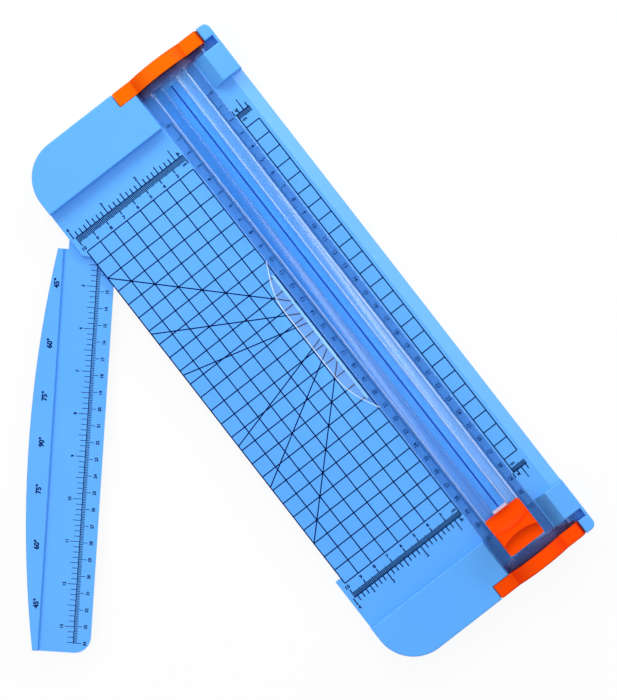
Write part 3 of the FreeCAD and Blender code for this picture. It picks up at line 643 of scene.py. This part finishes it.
def print_cross_scale(sheet, hatch_in, hatch_out, low, high, label_y):
    """Scale across the bed: a hatched band, inch marks outside it and centimetre marks inside."""
    out = math.copysign(1, hatch_out - hatch_in)
    sheet.line(hatch_out, low, hatch_out, high, LINE)
    for index in range(HATCH_ROWS):
        x = hatch_in + (hatch_out - hatch_in) * index / HATCH_ROWS
        sheet.line(x, low, x, high, HATCH)
    for y in steps(low, high, 1):
        sheet.line(hatch_in, y, hatch_out, y, HATCH)
    for y in steps(low, high + CM_RUN_ON, 5):
        whole = y % 10 == 0
        reach = CM_REACH if whole else HALF_CM_REACH
        sheet.line(hatch_in, y, hatch_in - out * reach, y, LINE if whole else FINE)
        if whole and abs(y) > CM_FIGURES_FROM:
            sheet.text(str(abs(y) // 10), hatch_in - out * CM_FIGURE_OUT, y, FIGURE, TOWARDS_CUT)
    for y in steps(low, high + INCH_RUN_ON, EIGHTH):
        count = round(y / EIGHTH)
        reach = HALF_INCH_REACH if count % 4 == 0 else EIGHTH_REACH
        sheet.line(hatch_out, y, hatch_out + out * reach, y, LINE)
        if count % 8 == 0:
            sheet.text(str(abs(count) // 8), hatch_out + out * INCH_FIGURE_OUT, y, FIGURE, TOWARDS_CUT)
    cm_y = label_y + math.copysign(CM_UNIT_ALONG, label_y)
    sheet.text("in", hatch_out + out * INCH_UNIT_OUT, label_y, UNIT_FIGURE, TOWARDS_CUT)
    sheet.text("cm", hatch_in - out * CM_UNIT_OUT, cm_y, UNIT_FIGURE, TOWARDS_CUT)


def print_bed():
    sheet = PrintSheet("bed_print", BED_Z, on_bed, -1)
    print_grid(sheet)
    print_fan(sheet)
    for scale in CROSS_SCALES:
        print_cross_scale(sheet, *scale)
    sheet.finish("base")


# Rail scales, in millimetres: where zero stands along X, and both rows: where the marks start, where the
# figures stand, and which way they read
RAIL_ZERO = -154.1
RAIL_SCALE = 310
RAIL_ROWS = ((13.2, 16.2, (1, 0)), (-13.2, -16.2, (-1, 0)))
RAIL_FIGURE = 2.4
RAIL_BOLDER = 0.01
MM_REACH = 0.9
RAIL_HALF_CM_REACH = 1.2
RAIL_CM_REACH = 1.6


def on_rail(x, y):
    return ((RAIL_ZERO + x) * MM, CUT_Y + y * MM)


def print_rail():
    sheet = PrintSheet("rail_print", FLANGE_Z, on_rail, 1, RAIL_BOLDER)
    for start, label_y, reads in RAIL_ROWS:
        out = math.copysign(1, start)
        for x in range(RAIL_SCALE + 1):
            reach = MM_REACH
            if x % 5 == 0:
                reach = RAIL_HALF_CM_REACH
            if x % 10 == 0:
                reach = RAIL_CM_REACH
            sheet.line(x, start, x, start + out * reach, FINE)
        for x in range(0, RAIL_SCALE + 1, 10):
            sheet.text(str(x // 10), x, label_y, RAIL_FIGURE, reads)
    sheet.finish("rail_assembly")


# Arm scales, in millimetres along the arm from its pivot and across it towards the bowed side. The offset is
# where the centimetre scale would start. Each angle mark is a place along, its figure and a place across.
ARM_OFFSET = -86.55
ARM_LINE = -6.45
ARM_START = 24.0
ARM_END = 253.6
ARM_WEIGHT = 0.5
ARM_GUIDES = (0.75, 1.5)
ARM_GUIDE_WEIGHT = 0.1
ARM_CM_REACH = 4.7
ARM_MM_REACH = 2.25
ARM_CM_FIGURES = -13.2
ARM_FIGURES_FROM = 5
ARM_EIGHTH_REACH = 3.6
ARM_HALF_INCH_REACH = 4.8
ARM_INCH_REACH = 5.6
ARM_INCH_FIGURES = 1.2
ARM_FIGURE = 1.9
ANGLE_FIGURE = 3.1
TOWARDS_PIVOT = (-1, 0)
ARM_ANGLES = ((40, 45, 17.1), (76, 60, 19.0), (107.5, 75, 20.0), (135, 90, 20.0),
              (163, 75, 20.0), (196, 60, 19.0), (231, 45, 17.1))


def on_arm(along, across):
    turn = Matrix.Rotation(RULER_ANGLE, 2)
    spot = turn @ Vector((along * MM, -across * MM))
    return (PIVOT.x + spot.x, PIVOT.y + spot.y)


def print_arm():
    sheet = PrintSheet("arm_print", RULER_Z, on_arm, -1)
    sheet.line(ARM_START, ARM_LINE, ARM_END, ARM_LINE, ARM_WEIGHT)
    for offset in ARM_GUIDES:
        sheet.line(ARM_START, ARM_LINE - offset, ARM_END, ARM_LINE - offset, ARM_GUIDE_WEIGHT)
    for mark in steps(ARM_START - ARM_OFFSET, ARM_END - ARM_OFFSET, 1):
        along = mark + ARM_OFFSET
        reach = ARM_CM_REACH if mark % 10 == 0 else ARM_MM_REACH
        sheet.line(along, ARM_LINE, along, ARM_LINE - reach, FINE)
        if mark % 10 == 0 and along > ARM_START + ARM_FIGURES_FROM:
            sheet.text(str(mark // 10), along, ARM_CM_FIGURES, ARM_FIGURE, TOWARDS_PIVOT)
    for mark in steps(ARM_START - ARM_OFFSET, ARM_END - ARM_OFFSET, EIGHTH):
        along = mark + ARM_OFFSET
        count = round(mark / EIGHTH)
        reach = ARM_EIGHTH_REACH
        if count % 4 == 0:
            reach = ARM_HALF_INCH_REACH
        if count % 8 == 0:
            reach = ARM_INCH_REACH
        sheet.line(along, ARM_LINE, along, ARM_LINE + reach, FINE)
        if count % 8 == 0:
            sheet.text(str(count // 8), along, ARM_INCH_FIGURES, ARM_FIGURE, TOWARDS_PIVOT)
    sheet.finish("ruler")
    bow = PrintSheet("arm_angle_print", BOW_Z, on_arm, -1)
    for along, angle, across in ARM_ANGLES:
        bow.text(str(angle) + "°", along, across, ANGLE_FIGURE, TOWARDS_PIVOT)
    bow.finish("ruler")


# Painted highlight lines along the rounded edges of the clear rail: away from the cut line, height over the
# bed, width, all in millimetres
RAIL_EDGE_HIGHLIGHTS = ((12.0, 9.68, 0.28), (5.5, 9.74, 0.18), (-12.0, 9.68, 0.18))
EDGE_REACH = 171.0

# Finger tab, in millimetres: half its length at the root and at the tip, how far its root, bend and tip lie
# from the cut line, heights over the bed, then the painted highlight line along its edge and the painted
# highlight band along its root
TAB_HALF = 55.0
TAB_FLAT = 24.0
TAB_ROOT = -19.3
TAB_BEND = -22.5
TAB_TIP = -29.2
TAB_TOP = 1.9
TAB_RISE = 4.2
TAB_LINE = 0.38
TAB_BAND_HALF = 46.0
TAB_BAND = -21.6
TAB_BAND_WIDTH = 1.6

# Shape of the tab's edge: points along it, and where the poles of its curve lie between root and tip
TAB_STEPS = 24
TAB_POLE_SHARES = (0.3, 0.48, 0.42)

# How far a thin edge strip sinks into the plastic and stands above it, in millimetres
RIBBON_SINK = 0.15
RIBBON_RISE = 0.03


def ribbon(mesh, points, width):
    """Closed thin strip of a given width through points given in millimetres from the cut line's middle."""
    rings = []
    for index, (x, y, z) in enumerate(points):
        before = points[max(index - 1, 0)]
        after = points[min(index + 1, len(points) - 1)]
        along = Vector((after[0] - before[0], after[1] - before[1])).normalized()
        side = Vector((-along.y, along.x)) * width / 2
        ring = []
        low = z - RIBBON_SINK
        high = z + RIBBON_RISE
        for offset, height in ((side, low), (-side, low), (-side, high), (side, high)):
            spot = ((x + offset.x) * MM, CUT_Y + (y + offset.y) * MM, BED_Z + height * MM)
            ring.append(mesh.verts.new(spot))
        rings.append(ring)
    mesh.faces.new(rings[0])
    mesh.faces.new(rings[-1][::-1])
    for first, second in zip(rings, rings[1:]):
        for i in range(4):
            j = (i + 1) % 4
            mesh.faces.new((first[i], second[i], second[j], first[j]))


def tab_outline():
    """Points along the finger tab's curved edge, from end to end."""
    span = TAB_HALF - TAB_FLAT
    reach = TAB_TIP - TAB_ROOT
    in_share, out_share, tip_share = TAB_POLE_SHARES
    poles = [Vector((TAB_HALF, TAB_ROOT)),
             Vector((TAB_HALF - span * in_share, TAB_ROOT + reach * out_share)),
             Vector((TAB_FLAT + span * tip_share, TAB_TIP)),
             Vector((TAB_FLAT, TAB_TIP))]
    half = []
    for step in range(TAB_STEPS + 1):
        t = step / TAB_STEPS
        spot = (poles[0] * (1 - t) ** 3 + poles[1] * 3 * t * (1 - t) ** 2
                + poles[2] * 3 * t ** 2 * (1 - t) + poles[3] * t ** 3)
        raised = max(0, TAB_BEND - spot.y) / (TAB_BEND - TAB_TIP) * TAB_RISE
        half.append((spot.x, spot.y, TAB_TOP + raised))
    return half + [(-x, y, z) for x, y, z in reversed(half)]


def finish_edges(mesh, name, finish):
    piece = make_piece(mesh, name, finish)
    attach(piece, "rail_assembly")


def draw_rail_edges():
    mesh = bmesh.new()
    # Painted highlight lines along the ridges' edges and the finger tab's outline
    for y, height, width in RAIL_EDGE_HIGHLIGHTS:
        ribbon(mesh, [(-EDGE_REACH, y, height), (EDGE_REACH, y, height)], width)
    ribbon(mesh, tab_outline(), TAB_LINE)
    finish_edges(mesh, "rail_edge_highlights", "edge")
    mesh = bmesh.new()
    # Painted highlight band along the finger tab's root
    ends = [(-TAB_BAND_HALF, TAB_BAND, TAB_TOP), (TAB_BAND_HALF, TAB_BAND, TAB_TOP)]
    ribbon(mesh, ends, TAB_BAND_WIDTH)
    finish_edges(mesh, "tab_root_highlight", "band")


# Softboxes: name, place from the middle of the cut line, width and height, power in watts
SOFTBOXES = (
    ("softbox_key", (-1.1, 0.1, 1.0), (0.7, 0.7), 8.5),
    ("softbox_hinge_side", (-0.5, 1.3, 0.7), (1.6, 0.35), 12.0),
    ("softbox_wide_side", (-0.3, -1.4, 1.0), (2.0, 1.2), 3.0),
    ("softbox_fill", (-0.2, -1.2, 2.0), (0.9, 0.9), 9.0),
    ("softbox_streak", (-0.1, 0.57, 2.4), (1.0, 0.28), 4.4),
)
STREAK_TURN = math.radians(-45)

# Strength of the sky as a lamp, and as the camera, mirrors and clear plastic see it
SKY_LAMP = 0.42
SKY_SEEN = 1.0

# Surroundings: card above the camera, and floor with its share of plain white where it is seen
CARD_HEIGHT = 3.0
CARD_SIZE = (1.3, 1.4)
CARD_GREY = 0.02
FLOOR_SIZE = 8
FLOOR_GREY = 0.9
FLOOR_WHITE = 0.91
MATT = 0.9


def area_light(name, place, size, power):
    """Softbox that faces the middle of the cut line."""
    data = bpy.data.lights.new(name, "AREA")
    data.shape = "RECTANGLE"
    data.size, data.size_y = size
    data.energy = power
    lamp = bpy.data.objects.new(name, data)
    lamp.location = (place[0], CUT_Y + place[1], place[2])
    aim = Vector((0, CUT_Y, 0)) - lamp.location
    lamp.rotation_euler = aim.to_track_quat("-Z", "Y").to_euler()
    bpy.context.scene.collection.objects.link(lamp)
    return lamp


def seen_share(tree):
    """Socket that is 1 for rays from the camera, from mirrors and through clear plastic, and else 0."""
    path = tree.nodes.new("ShaderNodeLightPath")
    direct = tree.nodes.new("ShaderNodeMath")
    direct.operation = "ADD"
    seen = tree.nodes.new("ShaderNodeMath")
    seen.operation = "ADD"
    seen.use_clamp = True
    tree.links.new(path.outputs["Is Camera Ray"], direct.inputs[0])
    tree.links.new(path.outputs["Is Glossy Ray"], direct.inputs[1])
    tree.links.new(direct.outputs["Value"], seen.inputs[0])
    tree.links.new(path.outputs["Is Transmission Ray"], seen.inputs[1])
    return seen.outputs["Value"]


def light_the_scene():
    """Even daylight from all around, with softboxes on the sides and above."""
    world = bpy.data.worlds.new("studio")
    bpy.context.scene.world = world
    world.use_nodes = True
    tree = world.node_tree
    sky = tree.nodes["Background"]
    sky.inputs["Color"].default_value = (1, 1, 1, 1)
    strength = tree.nodes.new("ShaderNodeMix")
    strength.inputs["A"].default_value = SKY_LAMP
    strength.inputs["B"].default_value = SKY_SEEN
    tree.links.new(seen_share(tree), strength.inputs["Factor"])
    tree.links.new(strength.outputs["Result"], sky.inputs["Strength"])
    lamps = {box[0]: area_light(*box) for box in SOFTBOXES}
    lamps["softbox_streak"].rotation_euler = (0, 0, STREAK_TURN)


def matt_plane(name, size, place, grey):
    """Level plane of an even grey."""
    bpy.ops.mesh.primitive_plane_add(size=size, location=place)
    plane = bpy.context.object
    plane.name = name
    material = bpy.data.materials.new(name)
    material.use_nodes = True
    main = next(node for node in material.node_tree.nodes if node.type == "BSDF_PRINCIPLED")
    main.inputs["Base Color"].default_value = (grey, grey, grey, 1)
    main.inputs["Roughness"].default_value = MATT
    plane.data.materials.append(material)
    return plane, material.node_tree, main


def hang_dark_card():
    """Dark card above the camera, so that level clear faces show what lies below them."""
    card, _, _ = matt_plane("dark_card", 1, (0, CUT_Y, CARD_HEIGHT), CARD_GREY)
    card.scale = (*CARD_SIZE, 1)


def lay_floor():
    """Pale floor that the camera sees as white, with the machine's soft shadow on it."""
    floor, tree, main = matt_plane("floor", FLOOR_SIZE, (0, 0, 0), FLOOR_GREY)
    glow = tree.nodes.new("ShaderNodeEmission")
    share = tree.nodes.new("ShaderNodeMath")
    share.operation = "MULTIPLY"
    share.inputs[1].default_value = FLOOR_WHITE
    mix = tree.nodes.new("ShaderNodeMixShader")
    tree.links.new(seen_share(tree), share.inputs[0])
    tree.links.new(share.outputs["Value"], mix.inputs["Fac"])
    tree.links.new(main.outputs["BSDF"], mix.inputs[1])
    tree.links.new(glow.outputs["Emission"], mix.inputs[2])
    output = next(node for node in tree.nodes if node.type == "OUTPUT_MATERIAL")
    tree.links.new(mix.outputs["Shader"], output.inputs["Surface"])


look_from_above()
dress_nodes()
print_bed()
print_rail()
print_arm()
draw_rail_edges()
light_the_scene()
hang_dark_card()
lay_floor()
bpy.context.scene.view_settings.view_transform = "Standard"
